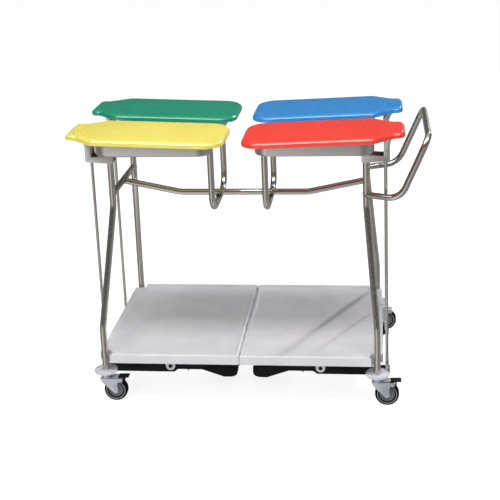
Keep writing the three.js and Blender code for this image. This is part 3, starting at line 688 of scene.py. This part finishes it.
# ---- Lid hinge ----
def bracket_sides():
    """The folded sheet: two side plates with a knuckle, a floor and an outer web."""
    outline = [(414, 812.5), (417, 809.3), (503.5, 815.7), (507, 819), (507, 866)]
    outline += bezier((507, 866), (507.5, 876), (511, 886), (518, 896), 6)[1:]
    outline += arc(*HINGE, 8, 0, 180, 12)
    outline += [(502, 895), (487, 875), (487, 838)]
    outline += arc(483, 837.5, 4, 0, -90, 4) + [(418, 839), (414, 835)]
    sheet, near, far, sunk, edge = 3, 131, 185, 0.6, 0.7
    sides = [prism(outline, y, y + sheet, "y", edge) for y in (near, far - sheet)]
    low_face = [(416, 809.2), (505, 815.8)]
    floor_side = low_face + [(x, z + sheet) for x, z in reversed(low_face)]
    bracket_floor = prism(floor_side, near + sunk, far - sunk, "y", edge)
    web = block(507 - sheet, 507, near + sunk, far - sunk, 818, 879, edge)
    return joined(*sides, bracket_floor, web)


def hex_head(x, z, y0, y1, r):
    """A bolt head or nut whose axis lies along Y."""
    turns = [math.radians(a) for a in range(0, 360, 60)]
    outline = [(x + r * math.cos(turn), z + r * math.sin(turn)) for turn in turns]
    return prism(outline, y0, y1, "y", 0.5)


def hinge_fittings():
    """Hinge pin with domed heads and its washers."""
    x, z = HINGE
    return joined(
        disc_y(x, z, 4, 127, 189),
        disc_y(x, z, 6.4, 127.2, 129.6, 1.0), disc_y(x, z, 6.4, 186.4, 188.8, 1.0),
        disc_y(x, z, 7.4, 129.6, 131.1, 0.4), disc_y(x, z, 7.4, 184.9, 186.4, 0.4),
    )


def lift_arm_shape():
    """The plate screwed under the lid, with two cheeks that hold the hinge pin and the lift pin."""
    start, end, plate = 461, 520, 3

    def top(x):
        return lid_underside(x) - GAP

    slab_side = [(start, top(start) - plate), (end, top(end) - plate), (end, top(end)), (start, top(start))]
    slab = prism(slab_side, 136, 180, "y", 0.6)
    outline = [(472, top(472) - 1)]
    outline += arc(*LIFT_PIN, 5.5, 180, 288, 6)
    outline += arc(*HINGE, 8, 297, 369, 6)
    outline += [(518, top(518) - 1)]
    cheeks = [prism(outline, y, y + 3, "y", 0.5) for y in (147.6, 157.4)]
    screws = [
        disc_z(x, y, 4.2, top(x) - 5.4, top(x) - 2.6, 0.9, 20) for x in (466, 474) for y in (142, 174)
    ]
    return joined(
        slab, *cheeks, *screws,
        disc_y(*HINGE, 5.9, 135, 181, 0.5),
        disc_y(*LIFT_PIN, 2.5, 146.1, 161.9, 0.4, 20),
    )


def push_rod_shape():
    """The rod, flattened at the top round its level slot."""
    x, y = ROD
    low, high = LIFT_PIN[1] - 14, LIFT_PIN[1] + 8
    slot_low, slot_high = LIFT_PIN[1] - 3.1, LIFT_PIN[1] + 3.1
    left, right, near, far = 486.6, 502.4, y - 2.6, y + 2.6
    shaft = disc_z(x, y, ROD_R, 98.3, low + 4, 0.8, 28)
    flare = [(x - ROD_R, low), (x + ROD_R, low), (right, low + 5), (right, slot_low), (left, slot_low),
             (left, low + 5)]
    blade = [
        prism(flare, near, far, "y", 0.5),
        block(left, left + 3.2, near, far, slot_low - 1, slot_high + 1, 0.4),
        block(right - 2.6, right, near, far, slot_low - 1, slot_high + 1, 0.4),
        block(left, right, near, far, slot_high, high, 0.6),
    ]
    return joined(shaft, *blade)


def clevis_shape():
    """The fork at the rod's foot, with its neck and the pin through the pedal."""
    x, y = ROD
    pin_z = PEDAL_PIVOT[1]
    cheek = [(x - 6, 88), (x - 6, 63)] + arc(x, 63, 6, 180, 360, 10)[1:] + [(x + 6, 88)]
    cheeks = [prism(cheek, y + s * 5.5 - 1.5, y + s * 5.5 + 1.5, "y", 0.6) for s in (-1, 1)]
    bridge = block(x - 6, x + 6, y - 7, y + 7, 82, 98, 1.2)
    neck = turned([(0, 96), (6.6, 96), (6.6, 99.5), (5.6, 101), (0, 101)], "z", 28, (x, y, 0))
    return joined(
        *cheeks, bridge, neck,
        disc_y(x, pin_z, 3, y - 9, y + 9, 0.5, 20),
        disc_y(x, pin_z, 4.6, y - 8.8, y - 7, 0.5, 20), disc_y(x, pin_z, 4.6, y + 7, y + 8.8, 0.5, 20),
    )


# ---- Pedals ----
PAD_TOE = [(27, 62), *bezier((27, 44), (27, 30.7), (37.3, 23.7), (58, 23.6), 8), (76, 23.6)]


def pedal_wall():
    """Side view of the lever, from the pad at its inner end to the rod at its outer end."""
    px, pz = PEDAL_PIVOT
    outline = PAD_TOE + [(153, 50.3), (238, 50.3), (252, 39.8), (484, 39.8), (484, 66), (px + 34, 66)]
    outline += bezier((px + 34, 66), (px + 20, 74), (px + 10, 78), (px, 78), 5)[1:]
    outline += bezier((px, 78), (px - 10, 78), (px - 20, 74), (px - 34, 66), 5)[1:]
    outline += [(183, 62)]
    return outline


def pedal_shape():
    """The moulded lever: side walls, top plates, a ribbed foot pad and the tongue that lifts the rod."""
    px, pz = PEDAL_PIVOT
    near, far, pad_near, wall = 142, 166, 100, 4
    pad_side = PAD_TOE + [(150, 50.3), (150, 62)]
    rod_x, rod_y = ROD
    treads = [block(x - 1.5, x + 1.5, pad_near + 5, far - 5, 61, 63.6, 0.8) for x in range(36, 146, 10)]
    ribs = [block(x, x + wall, near + 1, far - 1, 45, 61.5, 0.8) for x in (200, 330, 400, 480)]
    studs = [disc_y(x, 50, 4.5, far - 1, far + 0.4, 0.4, 24) for x in (300, 440)]
    return joined(
        prism(pedal_wall(), far - wall, far, "y", 0.9),
        prism(pedal_wall(), near, near + wall, "y", 0.9),
        prism(pad_side, pad_near, pad_near + wall, "y", 0.9),
        block(27.4, 153, pad_near + 0.5, far - 0.5, 58, 62, 0.8),
        block(27.3, 31, pad_near + 0.5, far - 0.5, 44, 61.5, 0.8),
        block(28, px - 34, near + 0.5, far - 0.5, 58, 61.8, 0.8),
        block(px - 40, 484, near + 0.5, far - 0.5, 58, 61.8, 0.8),
        disc_y(px, pz, 9, near, far, 0.6),
        block(480, rod_x + 9, rod_y - 3, rod_y + 3, 43, 71, 1.2),
        block(480, rod_x + 9, near + 4, far - 4, 43, 53.5, 1.2),
        *treads, *ribs, *studs,
    )


def hanger_plates():
    """Two plates that hang each pedal's axle, with their bolts."""
    px, pz = PEDAL_PIVOT
    top_z, bolt_z = 163.7, 153.7
    outline = arc(px, pz, 16.5, 180, 360, 16) + [(px + 26, top_z), (px - 26, top_z)]
    shapes = [prism(outline, y, y + 3, "y", 0.7) for y in (138.2, 166.8)]
    for offset in (-12, 12):
        shapes.append(disc_y(px + offset, bolt_z, 7.6, 169.6, 171, 0.4, 24))
        shapes.append(hex_head(px + offset, bolt_z, 170.8, 173.8, 6))
    return joined(*shapes)


# ---- Shelf ----
TRAY_INNER, TRAY_OUTER, TRAY_HALF, NOTCH_R = 1, 480, 304, 24
# Shallow slots in the edges where the two trays meet: where they start along Y, and how long they are.
SLOT_STARTS, SLOT_LENGTH = (-100, 250), 56


def tray_outline(inset, steps=14):
    """Plan of the right-hand tray: straight sides, and a hollow round each leg's foot."""
    x0, x1, y1 = TRAY_INNER + inset, TRAY_OUTER - inset, TRAY_HALF - inset
    middle_x = 240
    r = NOTCH_R + inset
    side_x, side_y = x1 - FOOT[0], y1 - FOOT[1]
    start = math.degrees(math.atan2(-side_y, -math.sqrt(r * r - side_y * side_y))) % 360
    end = math.degrees(math.atan2(math.sqrt(r * r - side_x * side_x), side_x))
    front = arc(FOOT[0], -FOOT[1], r, start, end, steps)
    rear = [(x, -y) for x, y in reversed(front)]
    return [(x0, -y1), (middle_x, -y1)] + front + [(x1, 0)] + rear + [(middle_x, y1), (x0, y1), (x0, 0)]


def tray_shape():
    """A shallow tray with a hanging skirt and a rounded rim; the profile is (inset, height)."""
    profile = [
        (6.5, 166.0), (3.4, 163.0), (3.0, 142.4), (2.4, 141.0), (0.8, 141.0), (0.0, 142.2), (0.0, 166.6),
        (0.5, 169.6), (1.9, 172.0), (4.2, 173.4), (10.5, 173.4), (12.4, 172.6), (14.6, 170.2), (17.5, 169.0),
    ]
    loops = [[(x, y, z) for x, y in tray_outline(inset)] for inset, z in profile]
    return lofted(loops, cap_first=True, cap_last=True)


def carved(obj, cutters):
    """Cuts closed shapes out of a finished piece."""
    points, faces = joined(*cutters)
    mesh = bpy.data.meshes.new("cutter")
    mesh.from_pydata([tuple(p) for p in points * MM + MIDDLE], [], faces)
    tool = bpy.data.objects.new("cutter", mesh)
    bpy.context.scene.collection.objects.link(tool)
    cut = obj.modifiers.new("cut", "BOOLEAN")
    cut.operation = "DIFFERENCE"
    cut.solver = "EXACT"
    cut.object = tool
    evaluated = obj.evaluated_get(bpy.context.evaluated_depsgraph_get())
    obj.data = bpy.data.meshes.new_from_object(evaluated)
    obj.modifiers.clear()
    bpy.data.objects.remove(tool)
    bpy.data.meshes.remove(mesh)


def base_frame_shape():
    """Square rails and bars under the trays, with a gusset out to each leg's foot."""
    low, high, end_x, rail_y, half = 140.6, 165.7, 430, 272, 13
    rails = [
        block(-end_x + half, end_x - half, y - half, y + half, low, high, 2.0)
        for y in (-rail_y, -ROD[1], ROD[1], rail_y)
    ]
    bars = [
        block(x - half, x + half, -rail_y - half + 6, rail_y + half - 6, low, high, 2.0)
        for x in (-end_x + half, 0, end_x - half)
    ]
    foot_x, foot_y = FOOT
    corner = [(end_x - 60, rail_y - 8), (end_x - 4, rail_y - 60), (foot_x, foot_y - 14), (foot_x, foot_y),
              (foot_x - 14, foot_y)]
    gussets = [
        mirrored(prism(corner, low - 6.3, low + 0.1, "z", 1.0), sx, sy) for sx in (-1, 1) for sy in (-1, 1)
    ]
    return joined(*rails, *bars, *gussets)


def pedal_axle_shape(sx):
    """The axle that carries the front and the rear pedal of one side."""
    px, pz = PEDAL_PIVOT
    return disc_y(sx * px, pz, 4, -173.1, 173.1, 0.8, 28)


def bore_shade_caps_shape(sx):
    """Push-on caps on the axle's two ends, coloured black as painted shade for the dark hole round the axle
    in each hanger.
    """
    px, pz = PEDAL_PIVOT
    return joined(*[
        disc_y(sx * px, pz, 6.5, y, y + 3.3, 0.8) for y in (-173.4, 170.1)
    ])


# ---- Casters, drawn about the swivel axis ----
ROOF_LOW, ROOF_TOP, ROOF_FRONT, ROOF_REAR = 81.2, 83.4, -19, 57


def fork_cheek():
    """Side view of the fork, from its roof down to the eye round the axle."""
    ax, az = AXLE
    outline = [(ROOF_FRONT, ROOF_TOP - 0.4), (ROOF_FRONT + 1, 78)]
    outline += bezier((ROOF_FRONT + 1, 78), (-10, 64), (4, 53), (ax - 10.5, az - 4), 8)[1:]
    outline += arc(ax, az - 1.5, 9.5, 198, 360, 14)
    outline += bezier((ax + 9.5, az - 1.5), (39.5, 52), (36, 69), (46, 70.5), 8)[1:]
    outline += [(53, 70.6)] + arc(53, 75, 4.4, -75, 0, 5) + [(ROOF_REAR, ROOF_TOP - 0.4)]
    return outline


def fork_shape():
    """The stamped fork with its turning head, axle bolt and nuts."""
    ax, az = AXLE
    cheeks = [prism(fork_cheek(), y, y + 2.5, "y", 0.7) for y in (13.5, -16)]
    roof = block(ROOF_FRONT, ROOF_REAR, -15.7, 15.7, ROOF_LOW, ROOF_TOP, 0.9)
    head = turned([
        (5.4, 82), (18.4, 82), (18.4, 84.6), (17.5, 86), (17.5, 93), (16.4, 94), (16.4, 95.4), (17.5, 96.4),
        (17.5, 99), (15.4, 102.4), (14.4, 103), (5.4, 103),
    ])
    bolt = disc_y(ax, az, 4, -19.5, 19.5, 0.8, 24)
    nuts = [hex_head(ax, az, y - 1.4, y + 1.4, 5.2) for y in (-17.6, 17.6)]
    washers = [disc_y(ax, az, 6.6, y - 0.4, y + 0.4, 0.3) for y in (-16.3, 16.3)]
    return joined(*cheeks, roof, head, bolt, *nuts, *washers)


def wheel_turned(face, middle=()):
    """A half profile, its middle points and its mirror image, turned about the wheel's axle."""
    profile = [*face, *middle, *[(r, -y) for r, y in reversed(face)]]
    return turned(profile, "y", 72, (AXLE[0], 0, AXLE[1]))


def tyre_shape():
    """The tread with its rounded shoulders, and the dark groove between the tread and the core."""
    tread_r, half, shoulder_r = 40, 12, 5
    outer = [(25, half - 4.4), (28.8, half - 4.0), (29.8, half - 0.8)]
    outer += arc(tread_r - shoulder_r, half - shoulder_r, shoulder_r, 90, 8, 5)
    return wheel_turned(outer, [(tread_r, 0)])


def core_shape():
    """Moulded wheel body: a rim lip, a dished web with a raised ring and a hub."""
    return wheel_turned([
        (4.4, 12), (9.5, 12), (11, 11.2), (11.6, 8.6), (15, 7.8), (15.8, 8.8), (17.2, 8.8), (18, 7.8),
        (21.6, 8.4), (22.4, 10.4), (23.4, 11), (25, 10.6), (25.3, 7.2),
    ])


def wheel_ring_shape():
    """The pale line moulded round each side of the tyre."""
    line = [(30.2, 10.8), (30.8, 12.4), (32.8, 12.4), (33.4, 10.8)]
    return joined(*[
        turned([(r, s * y) for r, y in line], "y", 72, (AXLE[0], 0, AXLE[1])) for s in (-1, 1)
    ])


def brake_arm_shape():
    """The plated inner end of the brake lever, over the fork's roof."""
    side = [(20, 84.4), (46, 85.9), (46, 89), (25, 88.4), (20, 87)]
    return prism(side, -11.6, 11.6, "y", 0.8)


def brake_shape():
    """A flat foot plate with a ribbed end, and the pad that hangs over the tyre."""
    side = [(42, 85.4), (55, 86.2), (78, 86.6)] + arc(77.6, 88.2, 1.6, -60, 60, 4)
    side += [(74, 90.6), (56, 90), (44, 89.6), (42, 88)]
    ridges = [block(x - 1.1, x + 1.1, -11.4, 11.4, 89, 91, 0.7) for x in (60, 64.5, 69, 73.5)]
    pad = block(58.7, 64.2, -8, 8, 73.4, 88, 1.2)
    return joined(prism(side, -12.5, 12.5, "y", 1.2), *ridges, pad)


def bumper_shape():
    """A dished ring round the leg's foot."""
    return turned([
        (11.6, 106.0), (14, 103.6), (33, 103.4), (37.4, 105.2), (39, 108.2), (39, 110.8), (38, 113),
        (36, 114), (34.2, 113.4), (32.6, 110.8), (16, 110.2), (13.8, 111.4), (13.4, 115.2), (11.6, 115.2),
    ], "z", 72)


def stem_shape():
    """The kingpin in the fork's head, its collar and the stem inside the leg."""
    return turned([
        (0, 76.5), (7.4, 76.5), (8, 77.1), (8, 80.4), (7.4, 80.9), (5, 80.9), (5, 103.6), (11.2, 103.6),
        (11.2, 106), (8.4, 106), (8.4, 138), (0, 138),
    ], "z", 28)


# ---- One quarter after another ----
# Each part is its name, shape, body (None for the frame), look, slot and the CAD nodes it stands for.
quarter_parts = [
    ("leg_tube", leg_shape, None, STEEL_UPRIGHT, "steel", "leg"),
    ("ring_band", bag_ring(), None, STEEL_SHEET, "steel", "bag_ring"),
    ("bracket_sheet", bracket_sides(), None, STEEL_SHEET, "steel", "hinge_bracket"),
    ("bracket_fittings", hinge_fittings(), None, ZINC, "zinc"),
    ("lift_bracket", lift_arm_shape(), "lid_unit", ZINC, "zinc", "lift_arm"),
    ("push_rod_smooth", push_rod_shape(), "rod_unit", STEEL_UPRIGHT, "steel", "push_rod"),
    ("clevis_fork", clevis_shape(), "rod_unit", ZINC, "zinc", "rod_clevis"),
    ("pedal_lever", pedal_shape(), "pedal_unit", BLACK, "black_plastic", "pedal"),
]
caster_parts = [
    ("fork_stamping", fork_shape(), "fork_unit", ZINC, "zinc", "caster_fork"),
    ("tyre_ring", tyre_shape(), "wheel_unit", TYRE, "tyre", "caster_wheel"),
    ("wheel_core", core_shape(), "wheel_unit", CORE_GREY, "bumper_grey"),
    ("wheel_line", wheel_ring_shape(), "wheel_unit", LINE_GREY, "bumper_grey"),
    ("bumper_disc", bumper_shape(), None, BUMPER_GREY, "bumper_grey", "caster_mount"),
    ("caster_stem", stem_shape(), None, ZINC, "zinc"),
]
brake_parts = [
    ("brake_lever", brake_shape(), "brake_unit", BLACK, "black_plastic", "caster_brake"),
    ("brake_arm", brake_arm_shape(), "brake_unit", ZINC, "zinc"),
]
lid_shape, rib_shape = lid_shell(), lid_ribs()
for quarter, sx, sy in QUARTERS:
    lid_slot, lid_look = LID_LOOKS[quarter]
    lid_parts = [
        ("lid_shell", lid_shape, "lid_unit", lid_look, lid_slot, "lid"),
        ("lid_ribs", rib_shape, "lid_unit", lid_look, lid_slot),
    ]
    front_parts = brake_parts if sy < 0 else []
    placed = [(part, mirrored(part[1], sx, sy)) for part in quarter_parts]
    placed += [(part, moved(part[1], sx * FOOT[0], sy * FOOT[1])) for part in caster_parts + front_parts]
    placed += [(part, mirrored(part[1], sx, sy)) for part in lid_parts]
    for (name, _, body, look, slot, *nodes), shape in placed:
        piece(f"{name}_{quarter}", shape, f"{body}_{quarter}" if body else "trolley_frame", look,
              [f"{node}_{quarter}" for node in nodes])

for side, sx in SIDES.items():
    tray = piece(f"tray_{side}", mirrored(tray_shape(), sx, 1), "trolley_frame", TRAY_GREY,
                 [f"shelf_tray_{side}"])
    slots = [mirrored(block(-4, 4, y, y + SLOT_LENGTH, 165.5, 184, 0), sx, 1) for y in SLOT_STARTS]
    carved(tray, slots)
    piece(f"pedal_axle_{side}", pedal_axle_shape(sx), "trolley_frame", ZINC,
          [f"pedal_shaft_{side}"])
    # The caps' black is painted shade: it stands for the dark hole round the axle in each hanger.
    piece(f"axle_caps_painted_shade_{side}", bore_shade_caps_shape(sx), "trolley_frame", BLACK)

piece("base_rails", base_frame_shape(), "trolley_frame", ZINC, ["base_frame"])
piece("pedal_hangers", joined(*[
    mirrored(hanger_plates(), sx, sy) for _, sx, sy in QUARTERS
]), "trolley_frame", BUMPER_GREY)


# ---- Floor, light and camera ----
def stage_piece(name, shape, look, **visibility):
    """A piece of the set, in metres, with the kinds of ray that don't see it."""
    mesh = bpy.data.meshes.new(name)
    mesh.from_pydata([tuple(p) for p in shape[0]], [], shape[1])
    mesh.materials.append(look.material)
    obj = bpy.data.objects.new(name, mesh)
    bpy.context.scene.collection.objects.link(obj)
    for rays, seen in visibility.items():
        setattr(obj, f"visible_{rays}", seen)


def floor():
    """A white floor that glows a little, so that it stays plain and pale."""
    half = 14.0
    look = Look("floor_white", Specular_IOR_Level=0.1, Roughness=0.9, Emission_Strength=0.82)
    look.shader.inputs["Emission Color"].default_value = (1.0, 1.0, 1.0, 1.0)
    soft = look.noise(1.5, 2.0)
    look.coloured(look.mixed(soft, (0.39, 0.39, 0.39), (0.42, 0.42, 0.42)))
    corners = [(-half, -half, 0), (half, -half, 0), (half, half, 0), (-half, half, 0)]
    stage_piece("floor", (corners, [(0, 1, 2, 3)]), look, glossy=False)


def backdrop():
    """A white tent round the floor that only the camera sees, closed from its peak to its rim."""
    radius = 13.6
    look = Look("backdrop_white", Roughness=1.0, Emission_Strength=1.0)
    look.shader.inputs["Base Color"].default_value = (0.0, 0.0, 0.0, 1.0)
    look.shader.inputs["Emission Color"].default_value = (1.0, 1.0, 1.0, 1.0)
    profile = arc(0, 0, radius, -5, 90, 15)
    tent = turned([*profile[:-1], (0, radius)], "z", 64)
    stage_piece("backdrop", tent, look, glossy=False, diffuse=False, shadow=False, transmission=False)


def area_light(name, place, target, size, power, glossy=True, diffuse=True):
    """A rectangular soft box that shines from one place to another."""
    light = bpy.data.lights.new(name, "AREA")
    light.shape = "RECTANGLE"
    light.size, light.size_y = size
    light.energy = power
    obj = bpy.data.objects.new(name, light)
    obj.location = place
    obj.rotation_mode = "QUATERNION"
    obj.rotation_quaternion = (Vector(target) - Vector(place)).to_track_quat("-Z", "Y")
    obj.visible_camera = False
    obj.visible_glossy = glossy
    obj.visible_diffuse = diffuse
    bpy.context.scene.collection.objects.link(obj)


def studio():
    """Soft boxes round and above the trolley, with darker warm flags between them."""
    world = bpy.data.worlds.new("studio")
    world.use_nodes = True
    bpy.context.scene.world = world
    nodes, links = world.node_tree.nodes, world.node_tree.links

    def maths(operation, *values):
        node = nodes.new("ShaderNodeMath")
        node.operation = operation
        for socket, value in zip(node.inputs, values):
            if isinstance(value, (int, float)):
                socket.default_value = value
            else:
                links.new(value, socket)
        return node.outputs[0]

    def ramp(value, stops):
        node = nodes.new("ShaderNodeValToRGB")
        links.new(value, node.inputs["Fac"])
        elements = node.color_ramp.elements
        for i, (place, colour) in enumerate(stops):
            stop = elements[i] if i < len(elements) else elements.new(place)
            stop.position = place
            stop.color = (*colour, 1.0)
        return node.outputs["Color"]

    split = nodes.new("ShaderNodeSeparateXYZ")
    links.new(nodes.new("ShaderNodeTexCoord").outputs["Generated"], split.inputs[0])
    x, y, z = split.outputs
    turn = maths("ADD", maths("DIVIDE", maths("ARCTAN2", x, maths("MULTIPLY", y, -1)), 2 * math.pi), 0.5)
    around = ramp(turn, AROUND_STOPS)
    above = ramp(z, ABOVE_STOPS)
    mix = nodes.new("ShaderNodeMix")
    mix.data_type = "RGBA"
    blend = nodes.new("ShaderNodeMapRange")
    blend.inputs["From Min"].default_value = -0.1
    blend.inputs["From Max"].default_value = 0.12
    links.new(z, blend.inputs["Value"])
    links.new(blend.outputs["Result"], mix.inputs["Factor"])
    links.new(around, mix.inputs[6])
    links.new(above, mix.inputs[7])
    links.new(mix.outputs[2], nodes["Background"].inputs["Color"])
    nodes["Background"].inputs["Strength"].default_value = 1.0


# Brightness seen by upright metal, against degrees from the front (negative to the left).
AROUND = {
    -180: 0.36, -120: 0.36, -65: 0.22, -45: 0.5, -28: 1.3, -14: 0.85, 0: 0.5,
    17: 0.42, 32: 0.25, 50: 0.3, 85: 0.42, 110: 0.42, 150: 0.34, 180: 0.36,
}
WARM = (1.0, 0.98, 0.95)
AROUND_STOPS = [
    ((degrees / 180 + 1) / 2, tuple(value * share for share in WARM)) for degrees, value in AROUND.items()
]
# Brightness above the horizon, from level (0) to straight up (1).
ABOVE_STOPS = [
    (0.0, (0.22, 0.22, 0.22)), (0.15, (0.1, 0.1, 0.1)), (0.5, (0.16, 0.16, 0.16)), (0.75, (0.5, 0.5, 0.5)),
    (1.0, (0.6, 0.6, 0.6)),
]
floor()
backdrop()
studio()
# Place, target and size in metres, then power in watts.
area_light("overhead", (0.0, -0.9, 2.9), (0, 0, 0.5), (3.0, 0.5), 62, glossy=False)
area_light("edge_strip", (0.0, -1.1, 2.9), (0, -0.3, 0.9), (4.0, 0.7), 110, diffuse=False)
area_light("rear_key", (2.0, 2.8, 2.5), (0.1, 0, 0.2), (0.12, 0.12), 60)
area_light("front_fill", (-1.6, -3.4, 2.2), (0, 0, 0.5), (2.0, 1.6), 22, glossy=False)

camera = bpy.data.objects.new("camera", bpy.data.cameras.new("camera"))
bpy.context.scene.collection.objects.link(camera)
bpy.context.scene.camera = camera
CAMERA_PLACE = (0.4704 + MIDDLE[0], -3.4859, 1.7908)
YAW, PITCH, ROLL = -0.1008, 0.2517, 0.0326
LENS_MM, SHIFT = 75.66, (-0.0511, -0.2484)
forward = Vector((math.sin(YAW) * math.cos(PITCH), math.cos(YAW) * math.cos(PITCH), -math.sin(PITCH)))
level_right = Vector((math.cos(YAW), -math.sin(YAW), 0))
level_up = level_right.cross(forward)
right = level_right * math.cos(ROLL) - level_up * math.sin(ROLL)
up = level_right * math.sin(ROLL) + level_up * math.cos(ROLL)
camera.matrix_world = Matrix([
    (across, upward, -ahead, place) for across, upward, ahead, place in zip(right, up, forward, CAMERA_PLACE)
] + [(0, 0, 0, 1)])
camera.data.sensor_width = 36
camera.data.lens = LENS_MM
camera.data.shift_x, camera.data.shift_y = SHIFT
camera.data.clip_end = 60
bpy.context.scene.view_settings.view_transform = "Standard"
